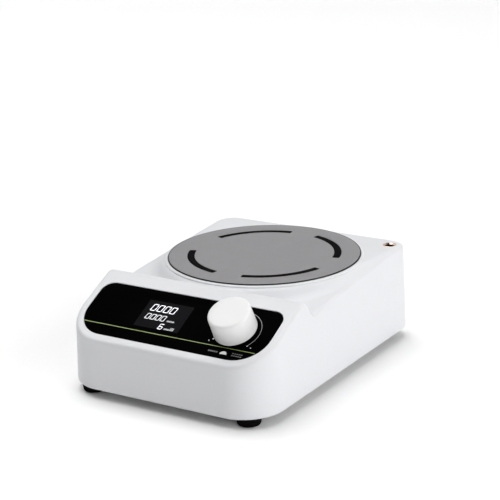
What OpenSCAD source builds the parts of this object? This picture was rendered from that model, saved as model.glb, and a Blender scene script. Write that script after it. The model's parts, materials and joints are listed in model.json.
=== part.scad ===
// Magnetic stirrer with a sloped control panel: a white moulded housing, a round work plate,
// and a motor under the plate that spins a pair of magnets.
// Millimetres. +X is to the right as seen from the front, +Y to the back, +Z up.
// The origin is on the bench, under the middle of the housing. The feet stand on z = 0.

/* [Housing] */
// Width of the housing at the front lip
body_w = 157; // [156:0.5:159]
// Depth of the housing at the front lip
body_d = 208; // [207:0.5:210]
// Height of the front lip, where the sloped panel face starts
lip_z = 42; // [41.5:0.5:42.5]
// Height of the deck round the work plate
deck_z = 69.4; // [69.2:0.1:69.8]
// Radius of the two front corners in plan
front_r = 27.5; // [26:0.5:29]
// Radius of the two rear corners in plan
rear_r = 12; // [11:0.5:13]
// Thickness of the moulded walls
wall = 2.5; // [2.4:0.1:2.6]
// Draft of the side walls in degrees
draft = 1.7; // [1.5:0.1:1.9]
// Slope of the panel face in degrees
slope = 26.8; // [26.6:0.1:27]

/* [Work plate] */
// Diameter of the work plate
plate_d = 135.5; // [134:0.5:136]
// Distance of the work plate's centre behind the middle of the housing
plate_y = 32; // [31:0.5:32.5]
// Thickness of the work plate
plate_t = 1.5; // [1.4:0.1:1.6]
// Angle that each of the four grip strips spans
strip_span = 62; // [50:1:70]

/* [Control panel] */
// Width of the black panel
panel_w = 144.8; // [143:0.2:145]
// Diameter of the knob
knob_d = 29.5; // [28:0.5:31]
// Height of the knob's top above the panel
knob_h = 17.5; // [17:0.5:18.5]
// Distance of the knob from the middle of the panel
knob_x = 45; // [44:0.5:46]

/* [Drive] */
// Diameter of the motor
motor_d = 37; // [36:0.5:38]
// Diameter of the motor shaft
shaft_d = 4; // [3:0.5:4]
// Diameter of each drive magnet
magnet_d = 20; // [18:0.5:20]
// Distance of each drive magnet from the shaft
magnet_x = 17; // [16.5:0.5:18]

/* [Hidden] */

big = 400; // wider than the housing
deep = 20; // length of a cutter that only has to be long enough
over = 1; // how far a cutter starts outside the face it cuts
eps = 0.01;
slide_gap = 0.02; // gap between parts that touch when assembled
$fn = 64;
fine = 96; // facets of the largest circles

// Levels in the housing
foot_h = 6.5;
floor_t = 2.5;
floor_top = foot_h + floor_t;
plate_top = deck_z + 1.1;
rim_top = deck_z + 0.25; // top of the ring round the work plate
gasket_t = 0.3;
recess_z = plate_top - plate_t - gasket_t; // floor of the recess that holds the work plate
ceiling_z = recess_z - 2; // underside of the deck
plate_gap = 0.5; // round the work plate, filled by the gasket's lip
recess_r = plate_d / 2 + plate_gap;
collar_r = recess_r + 2.35; // outside of the ring round the recess
collar_slope = 50; // degrees of the collar's flank from the horizontal
collar_t = 16; // height of the flank
rear_inset = 1.6; // from the deck's rear corners to the housing's outline

// Side profile of the housing's top: panel slope, crest, notch behind it, and the shoulder to the rear
front_y = -body_d / 2;
rear_y = body_d / 2;
notch_y = -34;
notch_z = deck_z - 11.7;
shoulder_rise = 0.047; // millimetres up per millimetre back
shoulder_dip = 3.3; // how far the notch is below the shoulder's straight line
shoulder_dip_len = 14;
rear_fall = 54; // degrees from the horizontal, from the crest down to the notch
crest_r = 7; // rounds the crest between the panel slope and the fall
crest_y = (notch_z - lip_z + notch_y * tan(rear_fall) + front_y * tan(slope)
    + crest_r / cos(slope) - crest_r / cos(rear_fall)) / (tan(rear_fall) + tan(slope));
crest_c = [crest_y, lip_z + (crest_y - front_y) * tan(slope) - crest_r / cos(slope)];

// Panel, in its own frame: x across, y up the slope from the lip, z out of the face
panel_lo = 6;
panel_hi = 52.8;
panel_low_r = 22;
panel_high_r = 9;
panel_depth = 1.5;
panel_wall = 2.9; // from the panel face to the inside of the housing
lens_t = 1.2;
panel_gap = 0.15;
lens_top = lens_t - panel_depth; // just under the housing's face
screen_c = [-12.3, 31.5];
screen_size = [35.5, 24];
screen_gap = 0.3;
module_rim = 1.5; // how far the display module reaches past the window on each side
module_step = 5.8; // height of its wide part

// Knob and encoder, in the panel's frame
knob_c = [knob_x, 30.6];
knob_r = knob_d / 2;
knob_gap = 1.2; // under the knob, more than it travels when pressed
knob_fillet = 1.6;
knob_taper = 0.3; // how much narrower the knob is at its top
knob_wall = 2.5;
knob_roof = 3;
knob_hub_r = 6.2;
nut_room_r = 6.9; // hollow under the hub that clears the encoder's nut
nut_room_h = 4.4;
shaft_end = 14; // top of the encoder's shaft
encoder_shaft_r = 3;
flat_x = 1.6; // flat on the shaft
flat_lo = 4.2;
bushing_r = 3.5;
bushing_hole_r = 3.6;
encoder_size = [13, 12];
encoder_washer_t = 0.5;
plunger_r = 2.9;
plunger_lo = 2; // above the control board
plunger_h = 1.2;
plunger_gap = 0.05; // to the shaft above it

// Control board, under the panel
board_t = 1.6;
control_lo = -11.6;
control_x = [-40, 60];
control_y = [11, 49];
control_holes = [for (x = [-36, 56], y = [15, 45]) [x, y]];
control_post_r = 3;
encoder_top = -panel_wall - slide_gap;
encoder_bottom = control_lo + board_t;

// Connector bay in the rear wall, with the switch and the jack on its floor
bay_depth = 4;
bay_y = rear_y - bay_depth;
bay_x = [-58, 0];
bay_z = [22, 46];
switch_c = [-42, 34];
switch_cut = [19.2, 13.2];
switch_flange = [21, 15];
switch_flange_t = 1.8;
switch_body = [19, 13];
switch_depth = 16;
switch_well = [16.4, 9.6]; // opening that the rocker moves in
switch_well_depth = 8;
rocker_size = [14.8, 6.6, 9.4];
rocker_dish_r = 20; // hollow of the rocker's face
rocker_tilt = 10; // degrees either side of the middle
rocker_pivot_y = bay_y - 1.5;
rocker_pin_r = 1;
rocker_pin_len = 11.6;
terminal_x = 5;
terminal_size = [4.8, 7, 0.8];
terminal_y = bay_y - switch_depth - terminal_size[1];
jack_c = [-14, 34];
jack_r = 4;
jack_flange_r = 5.6;
jack_flange_t = 1.6;
jack_len = 16;
jack_bore_r = 2.85;
jack_bore_depth = 10;
jack_pin_r = 0.98;

// Fasteners, feet and posts
screw_r = 1.5;
screw_hole_r = screw_r + 0.2;
screw_bore_r = screw_r + slide_gap; // for a screw that cuts its own thread
head_r = 2.8;
head_h = 1.8;
head_room = 0.4; // how far a cover screw's head is sunk
slot_w = 0.6;
slot_depth = 0.9;
foot_c = [61.8, 91];
foot_at = [for (x = [-1, 1], y = [-1, 1]) [x * foot_c[0], y * foot_c[1]]];
foot_top_r = 8.6;
foot_low_r = 7.9;
foot_round = 1.8;
foot_spigot_r = 5; // part of the foot that sits in the base plate
foot_spigot_h = 1.1;
foot_recess_r = 3.2;
foot_recess_h = 3.5;
foot_boss_h = 9.5;
post_at = [for (x = [-69, 69], y = [-62, 2, 66]) [x, y]];
post_r = 4;
post_h = 60;
post_rib = [8, 2];
pad_t = 2;
pad_gap = 0.2;
vent_count = 10;
vent_size = [2.4, 18];
vent_pitch = 6;

// Rod insert at the rear right corner of the deck
insert_c = [68.8, 90.9];
insert_r = 4.8;
insert_neck_r = 4.3;
insert_bore_r = 3.4;
insert_len = 16;
insert_flange_t = 0.9;
insert_proud = 0.1;
insert_chamfer = 0.8;
insert_boss_r = 8;

// Grip strips in the work plate
strip_r = 52;
strip_w = 5.2;
strip_mid = [-45, 45, 130, -130];
gasket_w = 6;
lip_drop = 0.1; // from the plate's top down to the gasket's lip

// Motor stack
shaft_r = shaft_d / 2;
running_gap = 0.03;
press_gap = 0.01;
motor_r = motor_d / 2;
can_t = 1;
can_floor = 2;
can_lo = 20;
flange_lo = 43;
bracket_lo = 46;
bracket_t = 1.5;
bracket_hi = bracket_lo + bracket_t;
boss_hi = bracket_hi + 1;
boss_r = 6;
bush_r = 4.5;
bush_h = [4.5, 5];
shaft_top = 60;
pillar_x = 38;
pillar_y = 16;
pillar_at = [for (x = [-1, 1], y = [-1, 1]) [x * pillar_x, plate_y + y * pillar_y]];
motor_screw_pcd = 25;
stator_lo = 27;
stator_hi = 37;
stator_h = stator_hi - stator_lo;
stator_teeth = 6;
tooth_w = 4;
tooth_in = 10.5;
tooth_len = 5.5;
shoe_span = 48;
yoke_in = 15;
coil_w = 1.5;
coil_in = 11.4;
coil_len = 3.2;
rotor_r = 9.2;
rotor_hub_r = 3.4;
rotor_over = 1.5; // how far the rotor reaches past the stator

// Magnet holder
holder_lo = 53;
holder_hi = 64;
holder_r = 30;
magnet_t = 8;
magnet_lo = holder_hi - magnet_t;
yoke_size = [54, 16, 2];
yoke_gap = 0.02;
hub_r = 8;
hub_lo = boss_hi + 0.6;
set_screw_z = (hub_lo + holder_lo) / 2;
set_screw_r = 1;
set_screw_len = 5.5;

// Driver board
board_z = 16;
board_top = board_z + board_t;
board_c = [-10, -56];
board_size = [76, 46];
board_holes = [for (x = [-1, 1], y = [-1, 1]) board_c + [x * 34, y * 19]];
board_pillar_r = 3.5;
capacitor_at = [for (x = [-34, -22]) [x, -60]];
chips = [ // corner and size of each one
    [[-8, -62], [10, 10, 1.6]],
    [[8, -64], [6, 5, 1.4]],
    [[-10, -46], [5, 4, 1.4]],
    [[0, -51], [8, 8, 5]]
];
socket_d = 6;
socket_h = 7;
socket_wall = 0.8;
socket_floor = 1.5;
motor_socket = [-2, -39.5];
power_socket = [-26, -39.5];
display_socket = [18, -52];
thin_cable_r = 1.2;
thick_cable_r = 1.4;
plug_z = board_top + 4; // where a cable leaves its socket

// ---------- shared shapes ----------

// Moves its children to the frame of the sloped panel
module on_panel(p = [0, 0], h = 0) {
    translate([0, front_y, lip_z]) rotate([slope, 0, 0]) translate([p[0], p[1], h]) children();
}

// Moves its children to the floor of the connector bay, with z pointing out of the rear wall
module on_bay(c) {
    translate([c[0], bay_y, c[1]]) rotate([-90, 0, 0]) children();
}

// A round cutter from z upwards
module hole(r, z = -over, h = deep) {
    translate([0, 0, z]) cylinder(r = r, h = h);
}

// The same hole at each place of a list
module holes(places, r, z = -over, h = deep) {
    for (p = places) translate([p[0], p[1], 0]) hole(r, z, h);
}

module tube(r_out, r_in, h) {
    difference() {
        cylinder(r = r_out, h = h);
        hole(r_in, -over, h + 2 * over);
    }
}

// A block from z upwards, with its middle on the axis
module centred_block(size, z = 0) {
    translate([-size[0] / 2, -size[1] / 2, z]) cube(size);
}

// A ring sector about z, from angle a0, spanning span
module sector_ring(r_in, r_out, a0, span, h) {
    rotate([0, 0, a0]) rotate_extrude(angle = span) translate([r_in, 0]) square([r_out - r_in, h]);
}

// A plate with its own radius at the low and the high corners
module plate_outline(w, lo, hi, low_r, high_r, grow = 0) {
    for (side = [-1, 1]) {
        translate([side * (w / 2 - low_r), lo + low_r]) circle(r = low_r + grow);
        translate([side * (w / 2 - high_r), hi - high_r]) circle(r = high_r + grow);
    }
    polygon([
        [-w / 2 + low_r, lo - grow], [w / 2 - low_r, lo - grow],
        [w / 2 + grow, lo + low_r], [w / 2 + grow, hi - high_r],
        [w / 2 - high_r, hi + grow], [-w / 2 + high_r, hi + grow],
        [-w / 2 - grow, hi - high_r], [-w / 2 - grow, lo + low_r]
    ]);
}

// A pan head screw: z = 0 is under the head, and the shank points down
module screw(len) {
    difference() {
        union() {
            cylinder(r = head_r, h = head_h);
            translate([0, 0, -len]) cylinder(r = screw_r, h = len + eps);
        }
        for (a = [0, 90]) rotate([0, 0, a]) centred_block([head_r * 1.1, slot_w, 2], head_h - slot_depth);
    }
}

function arc(c, r, from, to, steps) =
    [for (i = [0:steps]) let (a = from + (to - from) * i / steps) c + r * [cos(a), sin(a)]];

// ---------- housing ----------

// Outline of the housing at a height, drawn in by inset, as a thin slab for hull()
module outline_slab(z, inset) {
    grow = (lip_z - z) * tan(draft) - inset;
    translate([0, 0, z]) for (side = [-1, 1]) {
        translate([side * (body_w / 2 - front_r), front_y + front_r, 0])
            cylinder(r = front_r + grow, h = eps, $fn = fine);
        translate([side * (body_w / 2 - rear_r), rear_y - rear_r, 0])
            cylinder(r = rear_r + grow, h = eps, $fn = fine / 2);
    }
}

// Drafted block between two heights
module drafted_block(lo, hi, inset = 0) {
    hull() {
        outline_slab(lo, inset);
        outline_slab(hi - eps, inset);
    }
}

function shoulder_z(y) = notch_z + shoulder_dip + shoulder_rise * (y - notch_y)
    - shoulder_dip * exp(-(y - notch_y) / shoulder_dip_len);

// Side view of the top, as y and z pairs, lowered by drop
module side_profile(drop) {
    reach = 20; // past the front and the rear wall
    below = -5;
    polygon(concat(
        [[front_y - reach, lip_z - reach * tan(slope) - drop / cos(slope)], [front_y - reach, below]],
        [[rear_y + reach, below], [rear_y + reach, shoulder_z(rear_y + reach) - drop]],
        [for (y = [rear_y:-18:notch_y + 20]) [y, shoulder_z(y) - drop]],
        [for (y = [notch_y + 14:-4:notch_y + 2]) [y, shoulder_z(y) - drop]],
        [[notch_y - drop * 0.3, notch_z - drop]],
        arc(crest_c, crest_r - drop, 90 - rear_fall, 90 + slope, 8)
    ));
}

// Raised deck: a disc round the work plate, blended back to the rear corners
module raised_deck(top_z, shrink) {
    spread = collar_t / tan(collar_slope);
    corner = rear_r + rear_inset;
    hull() {
        translate([0, plate_y, top_z - collar_t])
            cylinder(r1 = collar_r - shrink + spread, r2 = collar_r - shrink, h = collar_t, $fn = fine);
        for (side = [-1, 1])
            translate([side * (body_w / 2 - corner), rear_y - corner, top_z - collar_t])
                cylinder(r1 = rear_r - shrink + spread, r2 = rear_r - shrink, h = collar_t, $fn = fine / 2);
    }
}

module top_shape(drop, top_z, shrink) {
    translate([-big / 2, 0, 0]) rotate([90, 0, 90]) linear_extrude(big) side_profile(drop);
    raised_deck(top_z, shrink);
}

// Block over the connector bay, larger than it by grow, from a depth outwards
module connector_bay(grow, from_y) {
    translate([bay_x[0] - grow, from_y, bay_z[0] - grow])
        cube([bay_x[1] - bay_x[0] + 2 * grow, deep, bay_z[1] - bay_z[0] + 2 * grow]);
}

module cover_posts() {
    for (p = post_at)
        translate([p[0], p[1], floor_top + pad_t + pad_gap]) {
            cylinder(r = post_r, h = post_h);
            translate([p[0] > 0 ? 0 : -post_rib[0], -post_rib[1] / 2, 0])
                cube([post_rib[0], post_rib[1], post_h]);
        }
    translate([insert_c[0], insert_c[1], deck_z - insert_len - 2])
        cylinder(r = insert_boss_r, h = insert_len + 4);
    for (p = control_holes) on_panel(p, encoder_bottom) cylinder(r = control_post_r, h = 8);
}

module cover_shell() {
    inner_shrink = 0.8;
    intersection() {
        drafted_block(foot_h, 80);
        top_shape(0, deck_z, 0);
        union() {
            difference() {
                centred_block([big, big, 100]);
                intersection() {
                    drafted_block(foot_h - over, 79, wall);
                    top_shape(panel_wall, ceiling_z, inner_shrink);
                }
            }
            cover_posts();
            connector_bay(wall, bay_y - wall);
        }
    }
}

module top_cover() color("white") difference() {
    union() {
        cover_shell();
        translate([0, plate_y, ceiling_z + over]) tube(collar_r, recess_r, rim_top - ceiling_z - over);
    }
    translate([0, plate_y, 0]) hole(recess_r, recess_z);
    on_panel([0, 0], -panel_depth) linear_extrude(deep)
        plate_outline(panel_w, panel_lo, panel_hi, panel_low_r, panel_high_r);
    on_panel(screen_c, -8)
        centred_block([screen_size[0] + 2 * screen_gap, screen_size[1] + 2 * screen_gap, 10]);
    on_panel(knob_c) hole(bushing_hole_r, -6, 10);
    translate([insert_c[0], insert_c[1], deck_z]) {
        hole(insert_neck_r + slide_gap, -insert_len);
        hole(insert_r + slide_gap, insert_proud - insert_flange_t);
    }
    holes(post_at, screw_bore_r, floor_top - over, 14);
    for (p = control_holes) on_panel(p) hole(screw_bore_r, control_lo, 8);
    connector_bay(0, bay_y);
    on_bay(switch_c) centred_block([switch_cut[0], switch_cut[1], deep], -8);
    on_bay(jack_c) hole(jack_r + 0.1, -8);
}

module base_plate() color("gainsboro") difference() {
    edge_gap = 0.7; // into the cover's wall, where the plate sits in a step
    union() {
        translate([0, 0, foot_h]) linear_extrude(floor_t)
            plate_outline(body_w, front_y, rear_y, front_r, rear_r, edge_gap - wall);
        holes(post_at, post_r + 1, foot_h, floor_t + pad_t);
        holes(foot_at, post_r, foot_h, foot_boss_h);
        holes(pillar_at, post_r, foot_h, bracket_lo - foot_h);
        holes(board_holes, board_pillar_r, foot_h, board_z - foot_h);
    }
    holes(post_at, head_r + 0.3, 0, foot_h + head_h + head_room);
    holes(post_at, screw_hole_r, 0);
    holes(foot_at, foot_spigot_r + slide_gap, 0, foot_h + foot_spigot_h + 0.1);
    holes(foot_at, screw_bore_r, 0, foot_h + 8);
    holes(pillar_at, screw_bore_r, bracket_lo - 10);
    holes(board_holes, screw_bore_r, board_z - 6);
    for (i = [0:vent_count - 1]) translate([(i - (vent_count - 1) / 2) * vent_pitch, plate_y, 0])
        centred_block([vent_size[0], vent_size[1], deep]);
}

module cover_screws() color("silver") for (p = post_at)
    translate([p[0], p[1], foot_h + head_h + head_room]) rotate([180, 0, 0]) screw(12);

module foot(p) color("black") translate([p[0], p[1], 0]) difference() {
    union() {
        rotate_extrude() polygon(concat(
            [[0, 0]],
            arc([foot_low_r - foot_round, foot_round], foot_round, -90, -15, 6),
            [[foot_top_r, foot_h - 0.8], [foot_top_r, foot_h], [0, foot_h]]
        ));
        cylinder(r = foot_spigot_r, h = foot_h + foot_spigot_h);
    }
    hole(foot_recess_r, -over, foot_recess_h + over);
    hole(screw_hole_r);
}

module foot_screws() color("silver") for (p = foot_at)
    translate([p[0], p[1], foot_recess_h]) rotate([180, 0, 0]) screw(10.5);

module rod_insert() color("gold") translate([insert_c[0], insert_c[1], deck_z - insert_len]) difference() {
    top = insert_len + insert_proud;
    union() {
        cylinder(r = insert_neck_r, h = insert_len);
        hole(insert_r, top - insert_flange_t, insert_flange_t);
    }
    hole(insert_bore_r);
    translate([0, 0, top - insert_chamfer])
        cylinder(r1 = insert_bore_r, r2 = insert_bore_r + insert_chamfer + eps, h = insert_chamfer + eps);
}

module work_plate() color("gray") translate([0, plate_y, plate_top - plate_t]) difference() {
    cylinder(r = plate_d / 2, h = plate_t, $fn = 128);
    translate([0, 0, -over]) for (a = strip_mid) {
        end_gap = slide_gap / strip_r * 180 / PI;
        sector_ring(strip_r - strip_w / 2 - slide_gap, strip_r + strip_w / 2 + slide_gap,
            a - strip_span / 2 - end_gap, strip_span + 2 * end_gap, plate_t + 2 * over);
    }
}

module plate_gasket() color("dimgray") translate([0, plate_y, recess_z]) union() {
    tube(recess_r - slide_gap, plate_d / 2 - gasket_w, gasket_t);
    tube(recess_r - slide_gap, plate_d / 2 + slide_gap, plate_t + gasket_t - lip_drop);
}

module grip_strip(a) color("black") translate([0, plate_y, recess_z + slide_gap])
    sector_ring(strip_r - strip_w / 2, strip_r + strip_w / 2, a - strip_span / 2, strip_span,
        plate_t + gasket_t - slide_gap);

// ---------- control panel ----------

module panel_lens() color("black") on_panel([0, 0], -panel_depth) difference() {
    linear_extrude(lens_t) plate_outline(panel_w, panel_lo, panel_hi, panel_low_r, panel_high_r, -panel_gap);
    translate([screen_c[0], screen_c[1], 0]) centred_block([screen_size[0], screen_size[1], 5], -over);
    holes([knob_c], bushing_hole_r);
}

module display_window() color("darkslategray", 0.5) on_panel(screen_c, -panel_depth)
    centred_block([screen_size[0] - 2 * slide_gap, screen_size[1] - 2 * slide_gap, lens_t]);

module display_module() color("dimgray") on_panel(screen_c, encoder_bottom + slide_gap) {
    centred_block([screen_size[0] + 2 * module_rim, screen_size[1] + 2 * module_rim, module_step]);
    centred_block([screen_size[0], screen_size[1], 8.2]);
}

module control_board() color("darkgreen") on_panel([0, 0], control_lo) difference() {
    translate([control_x[0], control_y[0], 0])
        cube([control_x[1] - control_x[0], control_y[1] - control_y[0], board_t]);
    holes(control_holes, screw_hole_r);
}

module control_board_screws() color("silver") for (p = control_holes)
    on_panel(p, control_lo) rotate([180, 0, 0]) screw(6.5);

module encoder_body() color("silver") on_panel(knob_c) difference() {
    union() {
        centred_block([encoder_size[0], encoder_size[1], encoder_top - encoder_bottom - slide_gap],
            encoder_bottom + slide_gap);
        hole(bushing_r, encoder_top - eps, 3 - encoder_top);
    }
    hole(encoder_shaft_r + running_gap, encoder_bottom + 1);
}

module encoder_plunger() color("ivory") on_panel(knob_c, encoder_bottom + plunger_lo)
    cylinder(r = plunger_r, h = plunger_h);

module encoder_shaft() color("lightgray") on_panel(knob_c) difference() {
    bottom = encoder_bottom + plunger_lo + plunger_h + plunger_gap;
    hole(encoder_shaft_r, bottom, shaft_end - bottom);
    translate([flat_x, -5, flat_lo]) cube([5, 10, deep]);
}

module encoder_washer() color("silver") on_panel(knob_c, lens_top)
    tube(6, bushing_r + 0.05, encoder_washer_t);

module encoder_nut() color("silver") on_panel(knob_c, lens_top + encoder_washer_t + slide_gap) difference() {
    cylinder(r = 5.8, h = 2, $fn = 6);
    hole(bushing_r + 0.05);
}

module knob() color("white") on_panel(knob_c) difference() {
    edge = 0.5;
    rotate_extrude() polygon(concat(
        [[0, knob_gap], [knob_r - edge, knob_gap], [knob_r, knob_gap + edge]],
        arc([knob_r - knob_fillet - knob_taper, knob_h - knob_fillet], knob_fillet, 0, 90, 8),
        [[0, knob_h]]
    ));
    difference() {
        cylinder(r = knob_r - knob_wall, h = knob_h - knob_roof);
        cylinder(r = knob_hub_r, h = knob_h);
    }
    cylinder(r = nut_room_r, h = nut_room_h);
    difference() {
        cylinder(r = encoder_shaft_r + press_gap, h = shaft_end + 0.2);
        translate([flat_x + slide_gap, -5, flat_lo + 0.1]) cube([5, 10, deep]);
    }
}

// ---------- drive ----------

module at_motor(z) {
    translate([0, plate_y, z]) children();
}

module at_motor_screws() {
    for (a = [45:90:315]) rotate([0, 0, a]) translate([motor_screw_pcd / 2, 0, 0]) children();
}

module motor_can() color("silver") at_motor(can_lo) difference() {
    cylinder(r = motor_r, h = flange_lo - can_lo);
    difference() {
        hole(motor_r - can_t, can_floor, 40);
        cylinder(r = bush_r + 2, h = bush_h[0]);
    }
    hole(bush_r + slide_gap);
    translate([motor_r - 4, -5, can_floor - eps]) cube([10, 10, 4]);
}

module motor_flange() color("gainsboro") at_motor(flange_lo) difference() {
    union() {
        cylinder(r = motor_r, h = bracket_lo - flange_lo);
        cylinder(r = boss_r, h = boss_hi - flange_lo);
    }
    hole(bush_r + slide_gap);
    at_motor_screws() hole(screw_bore_r);
}

// Places its children at each stator tooth, with x pointing outwards
module at_teeth() {
    for (i = [0:stator_teeth - 1]) rotate([0, 0, i * 360 / stator_teeth]) children();
}

// A straight-sided tooth, with gap all round its sides and h tall
module tooth(gap, z, h) {
    translate([tooth_in, -tooth_w / 2 - gap, z]) cube([tooth_len, tooth_w + 2 * gap, h]);
}

module motor_stator() color("dimgray") at_motor(stator_lo) {
    tube(motor_r - can_t - slide_gap, yoke_in, stator_h);
    at_teeth() {
        tooth(0, 0, stator_h);
        sector_ring(9.8, 11.2, -shoe_span / 2, shoe_span, stator_h);
    }
}

module motor_coils() color("chocolate") at_motor(stator_lo) at_teeth() difference() {
    translate([coil_in, -tooth_w / 2 - coil_w, -coil_w])
        cube([coil_len, tooth_w + 2 * coil_w, stator_h + 2 * coil_w]);
    tooth(slide_gap, -slide_gap, stator_h + 2 * slide_gap);
}

module motor_rotor() color("black") at_motor(0) difference() {
    hub_z = can_lo + bush_h[0] + 0.1;
    union() {
        hole(rotor_r, stator_lo - rotor_over, stator_h + 2 * rotor_over);
        hole(rotor_hub_r, hub_z, flange_lo - 1.1 - hub_z);
    }
    hole(shaft_r + press_gap, can_lo, 40);
}

module motor_shaft() color("silver") at_motor(can_lo - 1)
    cylinder(r = shaft_r, h = shaft_top - can_lo + 1);

module front_bush() color("peru") at_motor(flange_lo - 0.8) tube(bush_r, shaft_r + running_gap, bush_h[1]);
module rear_bush() color("peru") at_motor(can_lo) tube(bush_r, shaft_r + running_gap, bush_h[0]);

module speed_sensor_board() color("darkgreen") at_motor(flange_lo - 2.4) {
    sector_ring(tooth_in, motor_r - can_t - 0.05, 20, 140, 1);
    rotate([0, 0, 90]) translate([10.8, -2, -0.9]) cube([3, 4, 0.91]);
}

module motor_bracket() color("lightsteelblue") at_motor(bracket_lo) difference() {
    corner = 5;
    linear_extrude(bracket_t)
        plate_outline(2 * pillar_x + 12, -pillar_y - 6, pillar_y + 6, corner, corner);
    hole(boss_r + 0.1);
    at_motor_screws() hole(screw_hole_r);
    holes([for (x = [-1, 1], y = [-1, 1]) [x * pillar_x, y * pillar_y]], screw_hole_r);
}

module motor_screws() color("silver") at_motor(bracket_hi) at_motor_screws() screw(4);
module bracket_screws() color("silver") for (p = pillar_at) translate([p[0], p[1], bracket_hi]) screw(8);

module magnet_holder() color("whitesmoke") at_motor(0) difference() {
    union() {
        translate([0, 0, holder_lo]) cylinder(r = holder_r, h = holder_hi - holder_lo, $fn = fine);
        hole(hub_r, hub_lo, holder_lo - hub_lo + 1);
    }
    hole(shaft_r + press_gap, hub_lo - over);
    holes([[-magnet_x, 0], [magnet_x, 0]], magnet_d / 2 + slide_gap, magnet_lo);
    translate([0, 0, magnet_lo - yoke_size[2]])
        centred_block([yoke_size[0], yoke_size[1] + 2 * yoke_gap, yoke_size[2] + yoke_gap]);
    translate([0, 0, set_screw_z]) rotate([90, 0, 0]) cylinder(r = set_screw_r + slide_gap, h = deep);
    for (a = [60, 120, 240, 300]) rotate([0, 0, a]) translate([21, 0, 0]) hole(4, holder_lo - over, 30);
}

module magnet_yoke() color("slategray") at_motor(magnet_lo - yoke_size[2]) difference() {
    centred_block([yoke_size[0] - 2 * yoke_gap, yoke_size[1], yoke_size[2]]);
    hole(shaft_r + 1);
}

module drive_magnet(side) color("lightgray") at_motor(magnet_lo + yoke_gap)
    translate([side * magnet_x, 0, 0]) cylinder(r = magnet_d / 2, h = magnet_t - yoke_gap);

module hub_set_screw() color("black") at_motor(set_screw_z) rotate([90, 0, 0])
    translate([0, 0, shaft_r + slide_gap]) difference() {
        cylinder(r = set_screw_r, h = set_screw_len);
        translate([0, 0, set_screw_len - 1]) cylinder(r = 0.5, h = 2, $fn = 6);
    }

// ---------- electronics ----------

module driver_board() color("darkgreen") difference() {
    translate([board_c[0], board_c[1], 0]) centred_block([board_size[0], board_size[1], board_t], board_z);
    holes(board_holes, screw_hole_r, board_z - over);
}

module driver_board_screws() color("silver") for (p = board_holes)
    translate([p[0], p[1], board_top]) screw(6);

module driver_capacitors() color("midnightblue") holes(capacitor_at, 4, board_top, 12);

module driver_chips() color("black") for (chip = chips)
    translate([chip[0][0], chip[0][1], board_top]) cube(chip[1]);

// A socket of width w with its corner at the origin, open at the top
module socket(w) {
    difference() {
        cube([w, socket_d, socket_h]);
        translate([socket_wall, socket_wall, socket_floor])
            cube([w - 2 * socket_wall, socket_d - 2 * socket_wall, socket_h]);
    }
}

module board_connectors() color("ivory") {
    translate([display_socket[0], display_socket[1], board_top]) rotate([0, 0, 90]) socket(14);
    translate([motor_socket[0], motor_socket[1], board_top]) socket(12);
    translate([power_socket[0], power_socket[1], board_top]) socket(8);
    on_panel([20, 18], control_lo - slide_gap) rotate([180, 0, 0]) socket(14);
}

// A round cable through a list of points
module cable(points, r) {
    for (i = [0:len(points) - 2]) hull() {
        translate(points[i]) sphere(r = r, $fn = 16);
        translate(points[i + 1]) sphere(r = r, $fn = 16);
    }
}

// A smooth curve from a to b that leaves along da and arrives along db
function bezier(a, da, db, b, steps = 10) = [for (i = [0:steps]) let (t = i / steps, u = 1 - t)
    u * u * u * a + 3 * u * u * t * (a + da) + 3 * u * t * t * (b + db) + t * t * t * b];

function panel_point(p, h) = [
    p[0],
    front_y + p[1] * cos(slope) - h * sin(slope),
    lip_z + p[1] * sin(slope) + h * cos(slope)
];

module display_cable() color("lightgray") cable(bezier(
    [display_socket[0] - 3, display_socket[1] + 7, plug_z], [0, 0, 16],
    [0, 6, -10], panel_point([27, 15], control_lo - 5)), thin_cable_r);

module motor_cable() color("darkred") cable(bezier(
    [motor_socket[0] + 6, motor_socket[1] + 3, plug_z], [0, -2, 22],
    [12, -30, -12], [motor_r + 1, plate_y, can_lo + 4]), thick_cable_r);

module power_cable() color("black") {
    clear = thick_cable_r + 0.05; // from a terminal's end to the middle of the cable
    cable(bezier(
        [power_socket[0] + 4, power_socket[1] + 3, plug_z], [0, -2, 22],
        [-25, -45, 0], [switch_c[0] - terminal_x, terminal_y - clear, switch_c[1]]), thick_cable_r);
    cable(bezier(
        [switch_c[0] + terminal_x, terminal_y - clear, switch_c[1]], [0, -12, 0],
        [0, -20, 0], [jack_c[0], bay_y - jack_len - clear, jack_c[1]]), thick_cable_r);
}

// ---------- rear wall parts ----------

module switch_housing() color("black") on_bay(switch_c) difference() {
    union() {
        centred_block([switch_flange[0], switch_flange[1], switch_flange_t]);
        centred_block([switch_body[0], switch_body[1], switch_depth + 1], -switch_depth);
    }
    centred_block([switch_well[0], switch_well[1], deep], -switch_well_depth);
    translate([0, 6, rocker_pivot_y - bay_y]) rotate([90, 0, 0]) cylinder(r = rocker_pin_r + 0.04, h = 12);
}

module switch_rocker() color("black")
    translate([switch_c[0], rocker_pivot_y, switch_c[1]]) rotate([0, 0, rocker_tilt]) {
        difference() {
            translate([0, rocker_size[1] / 2 - 2, 0]) centred_block(rocker_size, -rocker_size[2] / 2);
            translate([0, rocker_dish_r + 4.2, -6]) cylinder(r = rocker_dish_r, h = 12, $fn = fine);
        }
        translate([0, 0, -rocker_pin_len / 2]) cylinder(r = rocker_pin_r, h = rocker_pin_len);
    }

module switch_terminals() color("gold") for (x = [-terminal_x, terminal_x])
    translate([switch_c[0] + x, terminal_y + terminal_size[1] / 2, switch_c[1] - terminal_size[2] / 2])
        centred_block([terminal_size[0], terminal_size[1] - 2 * eps, terminal_size[2]]);

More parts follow.
